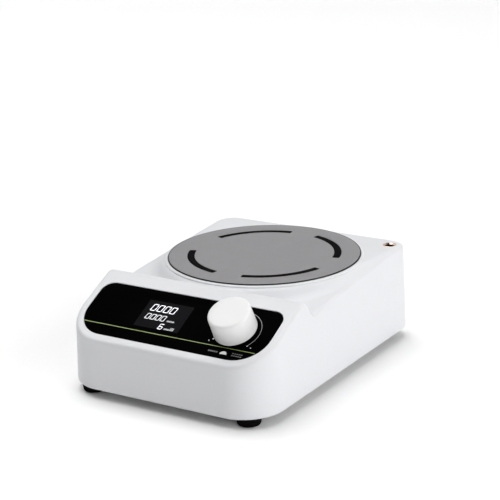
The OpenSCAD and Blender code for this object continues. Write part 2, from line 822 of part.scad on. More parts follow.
module dc_jack() color("black") on_bay(jack_c) difference() {
    union() {
        hole(jack_r, -jack_bore_depth, jack_bore_depth + 1);
        cylinder(r = jack_flange_r, h = jack_flange_t);
        hole(jack_r + 1, -jack_len, 6.01);
    }
    hole(jack_bore_r, -jack_bore_depth);
    hole(jack_pin_r + slide_gap, -jack_bore_depth - 1.5);
}

module jack_nut() color("silver") on_bay(jack_c) translate([0, 0, -wall - 2 - slide_gap]) difference() {
    cylinder(r = 6.4, h = 2, $fn = 6);
    hole(jack_r + slide_gap);
}

module jack_pin() color("silver") on_bay(jack_c) hole(jack_pin_r, -11.4, 10.9);

top_cover();
base_plate();
cover_screws();
foot([-foot_c[0], -foot_c[1]]);  // foot_front_left
foot([foot_c[0], -foot_c[1]]);  // foot_front_right
foot([-foot_c[0], foot_c[1]]);  // foot_rear_left
foot([foot_c[0], foot_c[1]]);  // foot_rear_right
foot_screws();
rod_insert();
work_plate();
plate_gasket();
grip_strip(strip_mid[0]);  // grip_strip_front_right
grip_strip(strip_mid[1]);  // grip_strip_rear_right
grip_strip(strip_mid[2]);  // grip_strip_rear_left
grip_strip(strip_mid[3]);  // grip_strip_front_left
panel_lens();
display_window();
display_module();
control_board();
control_board_screws();
encoder_body();
encoder_plunger();
encoder_shaft();
encoder_washer();
encoder_nut();
knob();
motor_can();
motor_flange();
motor_stator();
motor_coils();
motor_rotor();
motor_shaft();
front_bush();
rear_bush();
speed_sensor_board();
motor_bracket();
motor_screws();
bracket_screws();
magnet_holder();
magnet_yoke();
drive_magnet(-1);  // drive_magnet_north
drive_magnet(1);  // drive_magnet_south
hub_set_screw();
driver_board();
driver_capacitors();
driver_chips();
board_connectors();
driver_board_screws();
display_cable();
motor_cable();
power_cable();
switch_housing();
switch_rocker();
switch_terminals();
dc_jack();
jack_nut();
jack_pin();
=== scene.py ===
"""Looks of a magnetic stirrer: a white moulded housing, a grey work plate, a glossy control panel and a knob.

Shapes are worked out in millimetres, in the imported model's frame: +X right, +Y back, +Z up, bench at z = 0.
"""
import json
import math

import bmesh
import bpy
import numpy as np
from mathutils import Matrix, Vector


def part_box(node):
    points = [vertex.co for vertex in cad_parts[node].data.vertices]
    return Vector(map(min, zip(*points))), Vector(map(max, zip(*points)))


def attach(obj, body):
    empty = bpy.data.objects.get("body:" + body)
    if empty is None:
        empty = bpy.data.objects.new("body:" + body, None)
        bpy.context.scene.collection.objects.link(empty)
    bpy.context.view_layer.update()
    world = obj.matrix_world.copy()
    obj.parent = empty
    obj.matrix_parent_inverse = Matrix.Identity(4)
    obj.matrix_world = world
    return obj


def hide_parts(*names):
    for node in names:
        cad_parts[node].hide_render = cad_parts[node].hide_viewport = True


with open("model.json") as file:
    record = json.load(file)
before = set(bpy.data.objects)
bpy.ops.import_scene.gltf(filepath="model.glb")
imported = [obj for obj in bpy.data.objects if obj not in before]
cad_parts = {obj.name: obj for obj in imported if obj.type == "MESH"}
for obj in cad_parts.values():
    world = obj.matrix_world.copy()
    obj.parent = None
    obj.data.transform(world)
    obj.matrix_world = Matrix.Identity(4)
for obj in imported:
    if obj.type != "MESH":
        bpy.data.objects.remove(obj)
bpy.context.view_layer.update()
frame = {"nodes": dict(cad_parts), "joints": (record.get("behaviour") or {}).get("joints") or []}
MM = 0.001


# ---------------- places taken from the frame

def box_mm(node):
    """Lowest and highest corner of a CAD node, in millimetres."""
    low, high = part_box(node)
    return np.array(low) / MM, np.array(high) / MM


def middle_mm(node):
    """Middle of a CAD node's box, in millimetres."""
    low, high = box_mm(node)
    return (low + high) / 2


JOINTS = {joint["name"]: joint for joint in frame["joints"]}
PANEL_NORMAL = Vector(JOINTS["knob_turn"]["axis"]).normalized()
SLOPE = math.atan2(-PANEL_NORMAL.y, PANEL_NORMAL.z)

# Housing
BODY_W = 157.0
BODY_D = 208.0
LIP_Z = 42.0
DRAFT = math.radians(1.7)
FRONT_R = 27.5
REAR_R = 12.0
WALL = 2.5
PANEL_WALL = 2.9
HOUSING_TOP = 72.0
FRONT_Y = -BODY_D / 2
REAR_Y = BODY_D / 2
FOOT_H = box_mm("top_cover")[0][2]

# Deck and plate
PLATE_MID = middle_mm("work_plate")
PLATE_TOP = box_mm("work_plate")[1][2]
PLATE_T = PLATE_TOP - box_mm("work_plate")[0][2]
PLATE_R = 67.75
RECESS_R = PLATE_R + 0.5
RECESS_Z = box_mm("plate_gasket")[0][2]
DECK_Z = PLATE_TOP - 1.1
RIM_TOP = DECK_Z + 0.25
COLLAR_R = RECESS_R + 2.35
COLLAR_SLOPE = math.radians(50)
CEILING_Z = RECESS_Z - 2
REAR_INSET = 1.6
RECESS_CHAMFER = 0.35
RIM_EDGE = 0.5
PLATE_EDGE_R = 0.35
PLATE_SEGMENTS = 192

# Side profile behind the panel: the rounded crest, the fall behind it, the notch and the shoulder
NOTCH_Y = -34.0
NOTCH_Z = DECK_Z - 11.7
REAR_FALL = math.radians(54)
CREST_R = 7.0
CREST_MID_Y = (
    NOTCH_Z - LIP_Z + NOTCH_Y * math.tan(REAR_FALL) + FRONT_Y * math.tan(SLOPE)
    + CREST_R / math.cos(SLOPE) - CREST_R / math.cos(REAR_FALL)
) / (math.tan(REAR_FALL) + math.tan(SLOPE))
CREST_MID_Z = LIP_Z + (CREST_MID_Y - FRONT_Y) * math.tan(SLOPE) - CREST_R / math.cos(SLOPE)
SHOULDER_RISE = 0.047
SHOULDER_DIP = 3.3
SHOULDER_DIP_LEN = 14.0

# Panel, in its own frame: x across, s up the slope from the lip, h out of the face
PANEL_W = 144.8
PANEL_LO = 6.0
PANEL_HI = 52.8
PANEL_LOW_R = 22.0
PANEL_HIGH_R = 9.0
PANEL_DEPTH = 1.5
LENS_T = 1.2
LENS_TOP = LENS_T - PANEL_DEPTH
SCREEN_MID = (-12.3, 31.5)
SCREEN_SIZE = (35.5, 24.0)
SCREEN_HALF = (SCREEN_SIZE[0] / 2, SCREEN_SIZE[1] / 2)
SCREEN_CORNER_R = 0.4
PANEL_GAP = 0.15
PANEL_EDGE_R = 0.25
ENCODER_HOLE_R = 3.6

# Knob, hollow underneath, with a hub for the encoder's shaft. Heights are above the panel's face.
KNOB_AT = (45.0, 30.6)
KNOB_R = 14.75
KNOB_H = 17.5
KNOB_GAP = 1.2
KNOB_FOOT_R = 0.5
KNOB_TOP_R = 1.8
KNOB_TAPER = 0.3
KNOB_DISH = 0.03
KNOB_WALL = 2.5
KNOB_CEILING = KNOB_H - 3
HUB_R = 6.2
HUB_LOW = 4.4
HUB_TOP = 13.6
SOCKET_R = 3.01
SOCKET_TOP = 14.2

# Rod insert
INSERT = box_mm("rod_insert")
INSERT_MID = (INSERT[0] + INSERT[1]) / 2
INSERT_LOW = INSERT[0][2]
INSERT_TOP = INSERT[1][2]
INSERT_R = 4.8
INSERT_BODY_R = INSERT_R - 0.5
INSERT_BORE_R = 3.4
INSERT_CHAMFER = 0.8
INSERT_BOSS_R = 8.0
FLANGE_T = 0.9
GROOVE_DEPTH = 0.35
GROOVE_PITCH = 2.6
GROOVES = 5
THREAD_PITCH = 1.25
THREAD_DEPTH = 0.6

# Posts inside the housing, which take the cover screws
POST_X = 69.0
POST_YS = (-62.0, 2.0, 66.0)
POST_LOW = box_mm("base_plate")[0][2] + 4.7
POST_TOP = 53.0
POST_R = 4.0
SCREW_BORE_R = 1.52
SCREW_BORE_LOW = 8.0
SCREW_BORE_TOP = 22.0

# Rear bay, in x and z, with the switch and the inlet
BAY_LOW = (-58.0, 22.0)
BAY_HIGH = (0.0, 46.0)
BAY_R = 1.5
BAY_BLOCK_R = 3.5
BAY_DEPTH = 4.0
BAY_Y = REAR_Y - BAY_DEPTH
SWITCH = middle_mm("switch_housing")
JACK = middle_mm("dc_jack")
SWITCH_CUT = (19.2, 13.2)
JACK_HOLE_R = 4.1

# Feet
FOOT_TOP_R = 8.6
FOOT_LOW_R = 7.9
FOOT_ROUND = 1.8
FOOT_TOP_ROUND = 0.5
FOOT_NECK_R = 5.0
FOOT_NECK_H = 1.1
FOOT_BORE_R = 1.7
FOOT_RECESS_R = 3.2
FOOT_RECESS_H = 3.5

# Grip strips, with the middle of each one in degrees
STRIP_R = 52.0
STRIP_W = 5.2
STRIP_SPAN = math.radians(62)
STRIP_CORNER = 0.6
STRIP_EDGE_R = 0.3
STRIP_GAP = 0.03
STRIP_TURNS = {"front_right": -45, "rear_right": 45, "rear_left": 130, "front_left": -130}

# Printed marks and lit figures, in the panel's frame
PRINT_T = 0.04
GREEN_LINE = {"x": -69, "s": 15.2, "width": 136.2, "height": 0.5}
DIAL_R = 17.2
DIAL_LINE_W = 0.26
DIAL_FROM = -37
DIAL_TO = 180
# The dots at the dial's ends, measured from the knob's middle
DIAL_DOTS = (
    {"distance": 17.4, "degrees": -37, "radius": 0.5},
    {"distance": 20.6, "degrees": -34, "radius": 0.42},
    {"distance": 15.6, "degrees": 219, "radius": 0.55},
    {"distance": 18.6, "degrees": 219, "radius": 0.4},
)
KEY_DOME_AT = (46.1, 9.9)
KEY_DOME_R = 2.6
# The small bars that stand for the two labels, in one row and in two
LABEL_BARS = 5
LABELS = (
    {"x": 34.6, "rows": (10.4,), "pitch": 1.5, "size": (1.0, 1.1)},
    {"x": 52.3, "rows": (9.9, 11.7), "pitch": 1.6, "size": (1.1, 0.8)},
)
FIGURE_LEAN = 0.16
SEGMENTS = {"0": "abcdef", "6": "acdefg"}
TOP_FIGURES = {"text": "0000", "x": -25.6, "s": 34.4, "pitch": 5.1, "size": (3.9, 6.0), "stroke": 0.45}
MIDDLE_FIGURES = {"text": "0000", "x": -25.6, "s": 26.9, "pitch": 4.1, "size": (3.1, 4.9), "stroke": 0.34}
LOW_FIGURE = {"text": "6", "x": -11.2, "s": 19.9, "pitch": 5.1, "size": (3.2, 4.9), "stroke": 0.42}
UNIT_TICKS = (
    {"x": -7.6, "s": 27.1, "count": 7, "height": 1.3, "pitch": 0.85},
    {"x": -6.0, "s": 20.2, "count": 5, "height": 1.3, "pitch": 0.85},
    {"x": -1.6, "s": 20.2, "count": 3, "height": 2.6, "pitch": 1.1},
)
UNIT_TICK_W = 0.3

# Rounded edges of the housing
DECK_EDGE_R = 3.0
VALLEY_R = 1.2
FLANK_FOOT_R = 3.5
TOP_EDGE_R = 1.7
BOTTOM_EDGE_R = 1.6


# ---------------- mesh tools

def add_object(name, data):
    """Puts a mesh, a light or a camera in the scene."""
    obj = bpy.data.objects.new(name, data)
    bpy.context.scene.collection.objects.link(obj)
    return obj


def at(x, y, z=0):
    """Moves to a place in the frame, in millimetres."""
    return Matrix.Translation((x, y, z))


def mesh_object(name, points, faces, matrix=Matrix.Identity(4)):
    """An object from points in millimetres. matrix places them, in millimetres too."""
    mesh = bpy.data.meshes.new(name)
    placed = [matrix @ Vector(p) * MM for p in points]
    mesh.from_pydata(placed, [], faces)
    mesh.validate()
    face_outwards(mesh)
    return add_object(name, mesh)


def face_outwards(mesh):
    """Merges points that fall together and turns every face outwards."""
    edit = bmesh.new()
    edit.from_mesh(mesh)
    bmesh.ops.remove_doubles(edit, verts=edit.verts, dist=1e-7)
    bmesh.ops.recalc_face_normals(edit, faces=edit.faces)
    edit.to_mesh(mesh)
    edit.free()


def smooth(obj, degrees=35):
    """Smooth shading, with edges sharper than the angle kept crisp."""
    obj.data.shade_smooth()
    obj.data.set_sharp_from_angle(angle=math.radians(degrees))
    return obj


def join(name, objects):
    """One object from several, which are used up."""
    edit = bmesh.new()
    for obj in objects:
        obj.data.transform(obj.matrix_world)
        edit.from_mesh(obj.data)
        bpy.data.objects.remove(obj)
    mesh = bpy.data.meshes.new(name)
    edit.to_mesh(mesh)
    edit.free()
    return add_object(name, mesh)


def combine(target, others, operation):
    """Adds others to target, or takes them away, as closed solids."""
    for other in others:
        modifier = target.modifiers.new("combine", "BOOLEAN")
        modifier.operation = operation
        modifier.solver = "MANIFOLD"
        modifier.object = other
    bpy.context.view_layer.update()
    result = bpy.data.meshes.new_from_object(target.evaluated_get(bpy.context.evaluated_depsgraph_get()))
    target.modifiers.clear()
    target.data = result
    for other in others:
        bpy.data.objects.remove(other)
    return target


def stack(name, outline, levels, matrix=Matrix.Identity(4)):
    """A closed solid from one outline at several heights. outline(inset) gives its points at an inset,
    and levels lists (inset, height) from bottom to top."""
    points = []
    for inset, height in levels:
        points += [(x, y, height) for x, y in outline(inset)]
    n = len(points) // len(levels)
    faces = [list(range(n))[::-1], list(range(n * (len(levels) - 1), n * len(levels)))]
    for level in range(len(levels) - 1):
        for i in range(n):
            a = level * n + i
            b = level * n + (i + 1) % n
            faces.append([a, b, b + n, a + n])
    return mesh_object(name, points, faces, matrix)


def lathe(name, profile, segments=96, matrix=Matrix.Identity(4)):
    """A solid turned about Z from a closed profile of (radius, height)."""
    rings = []
    points = []
    for radius, height in profile:
        if radius < 1e-6:
            rings.append([len(points)] * segments)
            points.append((0, 0, height))
            continue
        rings.append(list(range(len(points), len(points) + segments)))
        turns = [2 * math.pi * i / segments for i in range(segments)]
        points += [(radius * math.cos(t), radius * math.sin(t), height) for t in turns]
    faces = []
    for i, ring in enumerate(rings):
        following = rings[(i + 1) % len(rings)]
        for j in range(segments):
            k = (j + 1) % segments
            corners = [ring[j], ring[k], following[k], following[j]]
            face = list(dict.fromkeys(corners))
            if len(face) > 2:
                faces.append(face)
    return mesh_object(name, points, faces, matrix)


def rod(name, radius, low, high, segments=48, matrix=Matrix.Identity(4)):
    """A plain round bar along Z."""
    return lathe(name, [(0, low), (radius, low), (radius, high), (0, high)], segments, matrix)


def arc(mid, radius, start, end, steps):
    """Points on an arc, with angles in degrees."""
    turns = [math.radians(start + (end - start) * i / steps) for i in range(steps + 1)]
    return [(mid[0] + radius * math.cos(t), mid[1] + radius * math.sin(t)) for t in turns]


def rounded_box(low, high, low_r, high_r, steps=8):
    """Outline function of a rectangle with one corner radius at its low and one at its high side."""
    def outline(inset):
        bottom = low_r - inset
        top = high_r - inset
        left, right = low[0] + inset, high[0] - inset
        floor, roof = low[1] + inset, high[1] - inset
        return (
            arc((right - bottom, floor + bottom), bottom, -90, 0, steps)
            + arc((right - top, roof - top), top, 0, 90, steps)
            + arc((left + top, roof - top), top, 90, 180, steps)
            + arc((left + bottom, floor + bottom), bottom, 180, 270, steps)
        )
    return outline


def rounded_levels(bottom, top, low_round, high_round, steps=4):
    """Levels for stack() with rounded lower and upper edges."""
    levels = []
    for i in range(steps + 1):
        turn = math.pi / 2 * i / steps
        if low_round:
            levels.append((low_round * (1 - math.sin(turn)), bottom + low_round * (1 - math.cos(turn))))
    if not low_round:
        levels.append((0, bottom))
    for i in range(steps + 1):
        turn = math.pi / 2 * i / steps
        if high_round:
            levels.append((high_round * (1 - math.cos(turn)), top - high_round * (1 - math.sin(turn))))
    if not high_round:
        levels.append((0, top))
    return levels


def panel_matrix(x=0, s=0, h=0):
    """Moves to a point of the sloped panel, with z out of its face."""
    return at(0, FRONT_Y, LIP_Z) @ Matrix.Rotation(SLOPE, 4, "X") @ at(x, s, h)


def rear_matrix(x, z):
    """Moves to the floor of the rear bay, with z out of the rear wall."""
    return at(x, BAY_Y, z) @ Matrix.Rotation(-math.pi / 2, 4, "X")


# ---------------- the housing as a distance field

def round_meet(a, b, radius):
    """Where both fields are inside, with the edge between them rounded."""
    reach = np.hypot(np.maximum(radius + a, 0), np.maximum(radius + b, 0))
    return np.minimum(-radius, np.maximum(a, b)) + reach


def round_join(a, b, radius):
    """Where either field is inside, with the valley between them filled."""
    return -round_meet(-a, -b, radius)


def plan_distance(x, y):
    """Distance from the housing's outline in plan."""
    corner = np.where(y < 0, FRONT_R, REAR_R)
    qx = np.abs(x) - BODY_W / 2 + corner
    qy = np.abs(y) - BODY_D / 2 + corner
    outside = np.hypot(np.maximum(qx, 0), np.maximum(qy, 0))
    return np.minimum(np.maximum(qx, qy), 0) + outside - corner


def shoulder_height(y):
    """Height of the face behind the notch, which rises gently to the back."""
    back = y - NOTCH_Y
    dip = SHOULDER_DIP * np.exp(-back / SHOULDER_DIP_LEN)
    return NOTCH_Z + SHOULDER_DIP + SHOULDER_RISE * back - dip


def deck_distance(x, y):
    """Distance in plan from the flat deck: a disc round the plate, drawn out to the rear corners."""
    rear = REAR_R + REAR_INSET
    discs = [(0, PLATE_MID[1], COLLAR_R)]
    discs += [(side * (BODY_W / 2 - rear), REAR_Y - rear, REAR_R) for side in (-1, 1)]
    distance = None
    for turn in np.linspace(0, 2 * math.pi, 180, endpoint=False):
        nx, ny = math.cos(turn), math.sin(turn)
        reach = max(cx * nx + cy * ny + radius for cx, cy, radius in discs)
        side = x * nx + y * ny - reach
        distance = side if distance is None else np.maximum(distance, side)
    return distance


def panel_distance(y, z):
    """Distance above the sloped panel face."""
    return (z - LIP_Z) * math.cos(SLOPE) - (y - FRONT_Y) * math.sin(SLOPE)


def crest_distance(y, z):
    """Below zero under both the panel slope and the fall behind it, with the crest between them rounded."""
    fall = (y - NOTCH_Y) * math.sin(REAR_FALL) + (z - NOTCH_Z) * math.cos(REAR_FALL)
    back = y - CREST_MID_Y
    up = z - CREST_MID_Z
    above_slope = back * math.cos(SLOPE) + up * math.sin(SLOPE) > 0
    above_fall = up * math.sin(REAR_FALL) - back * math.cos(REAR_FALL) > 0
    plain = np.maximum(panel_distance(y, z), fall)
    return np.where(above_slope & above_fall, np.hypot(back, up) - CREST_R, plain)


def housing_field(x, y, z):
    """Below zero inside the housing's outer skin."""
    walls = (plan_distance(x, y) - (LIP_Z - z) * math.tan(DRAFT)) * math.cos(DRAFT)
    wedge = crest_distance(y, z)
    shoulder = z - shoulder_height(y)
    flank = deck_distance(x, y) * math.sin(COLLAR_SLOPE) + (z - DECK_Z) * math.cos(COLLAR_SLOPE)
    deck = round_meet(z - DECK_Z + 0 * x, flank, DECK_EDGE_R)
    top = round_join(wedge, shoulder, VALLEY_R)
    top = round_join(top, deck, FLANK_FOOT_R)
    body = round_meet(walls, top, TOP_EDGE_R)
    return round_meet(body, FOOT_H - z, BOTTOM_EDGE_R)


def cavity_field(x, y, z):
    """Below zero in the hollow inside the housing."""
    lowered = np.maximum(z, FOOT_H + 2 * WALL)
    inner = housing_field(x, y, lowered) + WALL
    inner = np.maximum(inner, z - CEILING_Z)
    return np.maximum(inner, panel_distance(y, z) + PANEL_WALL)


def surface_net(name, field, low, high, cell):
    """A closed mesh of the surface where field is zero, with its points drawn onto that surface."""
    axes = [np.arange(low[i], high[i] + cell, cell) for i in range(3)]
    grid = field(axes[0][:, None, None], axes[1][None, :, None], axes[2][None, None, :])
    inside = grid < 0
    ends = (slice(None, -1), slice(1, None))
    corners = [(i, j, k) for i in (0, 1) for j in (0, 1) for k in (0, 1)]
    count = sum(inside[ends[i], ends[j], ends[k]].astype(int) for i, j, k in corners)
    active = (count > 0) & (count < 8)
    index = np.full(active.shape, -1)
    index[active] = np.arange(active.sum())
    cells = np.argwhere(active)
    total = np.zeros((len(cells), 3))
    hits = np.zeros(len(cells))
    for axis in range(3):
        for corner in corners:
            if corner[axis]:
                continue
            first = cells + corner
            second = first.copy()
            second[:, axis] += 1
            a = grid[tuple(first.T)]
            b = grid[tuple(second.T)]
            crossing = (a < 0) != (b < 0)
            share = np.where(crossing, a / np.where(crossing, a - b, 1), 0)
            point = first.astype(float)
            point[:, axis] += share
            total += np.where(crossing[:, None], point, 0)
            hits += crossing
    points = np.array(low) + total / hits[:, None] * cell
    points = settle(points, field, cell)
    return mesh_from_arrays(name, points, net_faces(inside, index))


def net_faces(inside, index):
    """The four cells round each grid edge that the surface crosses."""
    faces = []
    for axis in range(3):
        u, v = (axis + 1) % 3, (axis + 2) % 3
        ahead = np.moveaxis(inside, (axis, u, v), (0, 1, 2))
        cell = np.moveaxis(index, (axis, u, v), (0, 1, 2))
        start = ahead[:-1, 1:-1, 1:-1]
        crossing = start != ahead[1:, 1:-1, 1:-1]
        quad = np.stack([
            cell[:, :-1, :-1][crossing], cell[:, 1:, :-1][crossing],
            cell[:, 1:, 1:][crossing], cell[:, :-1, 1:][crossing],
        ], axis=1)
        leaving = start[crossing]
        faces.append(np.where(leaving[:, None], quad, quad[:, ::-1]))
    return np.concatenate(faces)


def settle(points, field, cell, rounds=4):
    """Moves points along the field's slope until they lie on its surface."""
    step = 0.01
    start = points.copy()
    for _ in range(rounds):
        value = field(*points.T)
        slope = np.stack([
            (field(*(points + step * axis).T) - value) / step for axis in np.eye(3)
        ], axis=1)
        size = np.maximum((slope ** 2).sum(axis=1), 0.1)
        points = points - (value / size)[:, None] * slope
    return start + np.clip(points - start, -cell, cell)


def mesh_from_arrays(name, points, faces):
    """An object from arrays of points, in millimetres, and four-sided faces."""
    mesh = bpy.data.meshes.new(name)
    mesh.vertices.add(len(points))
    mesh.vertices.foreach_set("co", (points * MM).ravel())
    mesh.loops.add(faces.size)
    mesh.loops.foreach_set("vertex_index", faces.ravel())
    mesh.polygons.add(len(faces))
    mesh.polygons.foreach_set("loop_start", np.arange(0, faces.size, 4))
    mesh.polygons.foreach_set("loop_total", np.full(len(faces), 4))
    mesh.update(calc_edges=True)
    mesh.validate()
    return add_object(name, mesh)


# ---------------- material tools

def new_material(name):
    """A material, its node tree's nodes and links, and its surface shader."""
    material = bpy.data.materials.new(name)
    material.use_nodes = True
    nodes = material.node_tree.nodes
    links = material.node_tree.links
    shader = nodes["Principled BSDF"]
    return material, nodes, links, shader


def place_texture(nodes, links, scale=(1, 1, 1)):
    """Object coordinates in millimetres, stretched by scale."""
    coordinates = nodes.new("ShaderNodeTexCoord")
    mapping = nodes.new("ShaderNodeMapping")
    mapping.inputs["Scale"].default_value = [1000 * s for s in scale]
    links.new(coordinates.outputs["Object"], mapping.inputs["Vector"])
    return mapping.outputs["Vector"]


def noise(nodes, links, vector, scale, detail=4.0, roughness=0.55):
    """A cloud texture. scale is in cycles per millimetre."""
    texture = nodes.new("ShaderNodeTexNoise")
    texture.inputs["Scale"].default_value = scale
    texture.inputs["Detail"].default_value = detail
    texture.inputs["Roughness"].default_value = roughness
    links.new(vector, texture.inputs["Vector"])
    return texture.outputs["Fac"]


def spread(nodes, links, value, low, high, from_low=0.3, from_high=0.7):
    """Maps a texture's value to a range."""
    remap = nodes.new("ShaderNodeMapRange")
    remap.inputs["From Min"].default_value = from_low
    remap.inputs["From Max"].default_value = from_high
    remap.inputs["To Min"].default_value = low
    remap.inputs["To Max"].default_value = high
    links.new(value, remap.inputs["Value"])
    return remap.outputs["Result"]


def mix_colours(nodes, links, factor, first, second):
    """A blend of two colours, each a list of three numbers or another node's output."""
    mix = nodes.new("ShaderNodeMix")
    mix.data_type = "RGBA"
    for socket, colour in (("A", first), ("B", second)):
        inputs = [i for i in mix.inputs if i.name == socket and i.type == "RGBA"]
        if isinstance(colour, bpy.types.NodeSocket):
            links.new(colour, inputs[0])
        else:
            inputs[0].default_value = (*colour, 1)
    factors = [i for i in mix.inputs if i.name == "Factor" and i.type == "VALUE"]
    links.new(factor, factors[0])
    return [o for o in mix.outputs if o.type == "RGBA"][0]


def add_bump(nodes, links, shader, height, distance_mm):
    """A fine relief from a texture's value."""
    bump = nodes.new("ShaderNodeBump")
    bump.inputs["Distance"].default_value = distance_mm * MM
    bump.inputs["Strength"].default_value = 1
    links.new(height, bump.inputs["Height"])
    links.new(bump.outputs["Normal"], shader.inputs["Normal"])


def edge_mask(nodes, links, width_mm=0.6, low=0.02, high=0.4):
    """Bright near edges and corners, where handling wears a part."""
    bevel = nodes.new("ShaderNodeBevel")
    bevel.samples = 4
    bevel.inputs["Radius"].default_value = width_mm * MM
    geometry = nodes.new("ShaderNodeNewGeometry")
    facing = nodes.new("ShaderNodeVectorMath")
    facing.operation = "DOT_PRODUCT"
    links.new(bevel.outputs["Normal"], facing.inputs[0])
    links.new(geometry.outputs["Normal"], facing.inputs[1])
    return spread(nodes, links, facing.outputs["Value"], 0, 1, 1 - low, 1 - high)


def plastic(name, colour, rough, grain=0.012, grain_scale=2.2, tint=0.03, coat=0.0, worn=0.25, gloss=0.5):
    """Moulded plastic with a fine grain, uneven gloss and slightly polished edges."""
    material, nodes, links, shader = new_material(name)
    place = place_texture(nodes, links)
    clouds = noise(nodes, links, place, 0.03)
    dark = [c * (1 - tint) for c in colour]
    light = [min(1, c * (1 + tint)) for c in colour]
    tone = mix_colours(nodes, links, clouds, dark, light)
    edges = edge_mask(nodes, links)
    edge_share = nodes.new("ShaderNodeMath")
    edge_share.operation = "MULTIPLY"
    edge_share.inputs[1].default_value = worn
    links.new(edges, edge_share.inputs[0])
    polished = [min(1, c * 1.12 + 0.01) for c in colour]
    tone = mix_colours(nodes, links, edge_share.outputs[0], tone, polished)
    links.new(tone, shader.inputs["Base Color"])
    smears = noise(nodes, links, place, 0.11, 6)
    links.new(spread(nodes, links, smears, rough * 0.88, rough * 1.14), shader.inputs["Roughness"])
    shader.inputs["Coat Weight"].default_value = coat
    shader.inputs["Coat Roughness"].default_value = 0.08
    shader.inputs["Specular IOR Level"].default_value = gloss
    add_bump(nodes, links, shader, noise(nodes, links, place, grain_scale, 3), grain)
    return material


def metal(name, colour, rough, stretch=(1, 1, 1), grain=0.006, grain_scale=3.0, stain=0.12, metallic=1.0):
    """Metal with fine directional marks, faint staining and bright edges."""
    material, nodes, links, shader = new_material(name)
    place = place_texture(nodes, links, stretch)
    plain_place = place_texture(nodes, links)
    marks = noise(nodes, links, place, grain_scale, 5, 0.7)
    patches = noise(nodes, links, plain_place, 0.08, 5)
    tone = mix_colours(nodes, links, patches, [c * (1 - stain) for c in colour], colour)
    edges = edge_mask(nodes, links)
    tone = mix_colours(nodes, links, edges, tone, [min(1, c * 1.25) for c in colour])
    links.new(tone, shader.inputs["Base Color"])
    shader.inputs["Metallic"].default_value = metallic
    links.new(spread(nodes, links, marks, rough * 0.75, rough * 1.3), shader.inputs["Roughness"])
    add_bump(nodes, links, shader, marks, grain)
    return material


def rubber(name, colour, rough=0.75, gloss=0.3):
    """Matte rubber with a fine pebble and pale scuffs."""
    material, nodes, links, shader = new_material(name)
    place = place_texture(nodes, links)
    scuffs = spread(nodes, links, noise(nodes, links, place, 0.5, 8, 0.7), 0, 0.5, 0.52, 0.75)
    pale = [c * 1.8 + 0.01 for c in colour]
    links.new(mix_colours(nodes, links, scuffs, colour, pale), shader.inputs["Base Color"])
    patches = noise(nodes, links, place, 0.4)
    links.new(spread(nodes, links, patches, rough * 0.9, rough * 1.1), shader.inputs["Roughness"])
    shader.inputs["Specular IOR Level"].default_value = gloss
    add_bump(nodes, links, shader, noise(nodes, links, place, 3.5, 2), 0.03)
    return material


def lit(name, colour, strength):
    """A lit display segment, whose brightness and tint vary a little at random."""
    material, nodes, links, shader = new_material(name)
    place = place_texture(nodes, links)
    flicker = spread(nodes, links, noise(nodes, links, place, 1.2), strength * 0.9, strength * 1.1)
    links.new(flicker, shader.inputs["Emission Strength"])
    shader.inputs["Emission Color"].default_value = (*colour, 1)
    tint = mix_colours(nodes, links, noise(nodes, links, place, 1.2), [c * 0.9 for c in colour], colour)
    links.new(tint, shader.inputs["Base Color"])
    shader.inputs["Roughness"].default_value = 0.5
    return material


def place_piece(obj, slot, *nodes, body="housing"):
    """Hangs a piece on its body and hides the CAD nodes that it takes the place of. slot is not used."""
    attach(obj, body)
    if nodes:
        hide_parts(*nodes)


def paint(obj, material):
    """Gives a piece one material."""
    obj.data.materials.clear()
    obj.data.materials.append(material)
    return obj


# ---------------- materials

WHITE_HOUSING = plastic("white_moulding", (0.675, 0.68, 0.70), 0.42, grain=0.010, tint=0.012, worn=0.5)
WHITE_KNOB = plastic("white_knob_plastic", (0.76, 0.76, 0.757), 0.40, grain=0.008, tint=0.012, worn=0.5)
GREY_BASE = plastic("grey_moulding", (0.50, 0.50, 0.50), 0.5, grain=0.03)
BLACK_PANEL = plastic("black_gloss", (0.001, 0.001, 0.001), 0.12, grain=0.001, grain_scale=0.4, gloss=0.001)
DARK_WINDOW = plastic("smoked_window", (0.010, 0.010, 0.011), 0.2, grain=0.001, grain_scale=0.4, gloss=0.001)
BLACK_PLASTIC = plastic("black_satin", (0.02, 0.02, 0.021), 0.38, grain=0.015)
IVORY_PLASTIC = plastic("ivory_plastic", (0.78, 0.74, 0.62), 0.45)
HOLDER_PLASTIC = plastic("holder_plastic", (0.72, 0.72, 0.70), 0.48, grain=0.02)
CHIP_PLASTIC = plastic("chip_epoxy", (0.02, 0.02, 0.02), 0.6, grain=0.02, grain_scale=5)
CAPACITOR_SLEEVE = plastic("capacitor_sleeve", (0.02, 0.03, 0.12), 0.3)
BOARD = plastic("solder_mask", (0.01, 0.11, 0.04), 0.3, grain=0.01, coat=0.3)
PLATE_METAL = metal("grey_plate_finish", (0.236, 0.231, 0.238), 0.5, grain=0.004, grain_scale=2.4, stain=0.05,
                    metallic=0.08)
BRASS = metal("brass", (0.62, 0.40, 0.20), 0.28)
INSERT_METAL = metal("polished_insert", (0.86, 0.64, 0.52), 0.12)
# Nearly black metal for the insert's thread: painted shade deep in the bore
BORE_PAINTED_SHADE = metal("bore_painted_shade", (0.03, 0.014, 0.008), 0.35)
BRONZE = metal("sintered_bronze", (0.40, 0.25, 0.11), 0.5, grain=0.02, grain_scale=5)
STEEL = metal("zinc_steel", (0.55, 0.55, 0.56), 0.32)
SHAFT_STEEL = metal("ground_steel", (0.60, 0.60, 0.61), 0.2, stretch=(1, 1, 8))
BRACKET_STEEL = metal("brushed_sheet", (0.50, 0.51, 0.54), 0.35, stretch=(0.1, 3, 1))
CAN_STEEL = metal("drawn_can", (0.55, 0.55, 0.57), 0.3, stretch=(1, 1, 0.2))
ALLOY = metal("cast_alloy", (0.60, 0.60, 0.61), 0.42, grain=0.02)
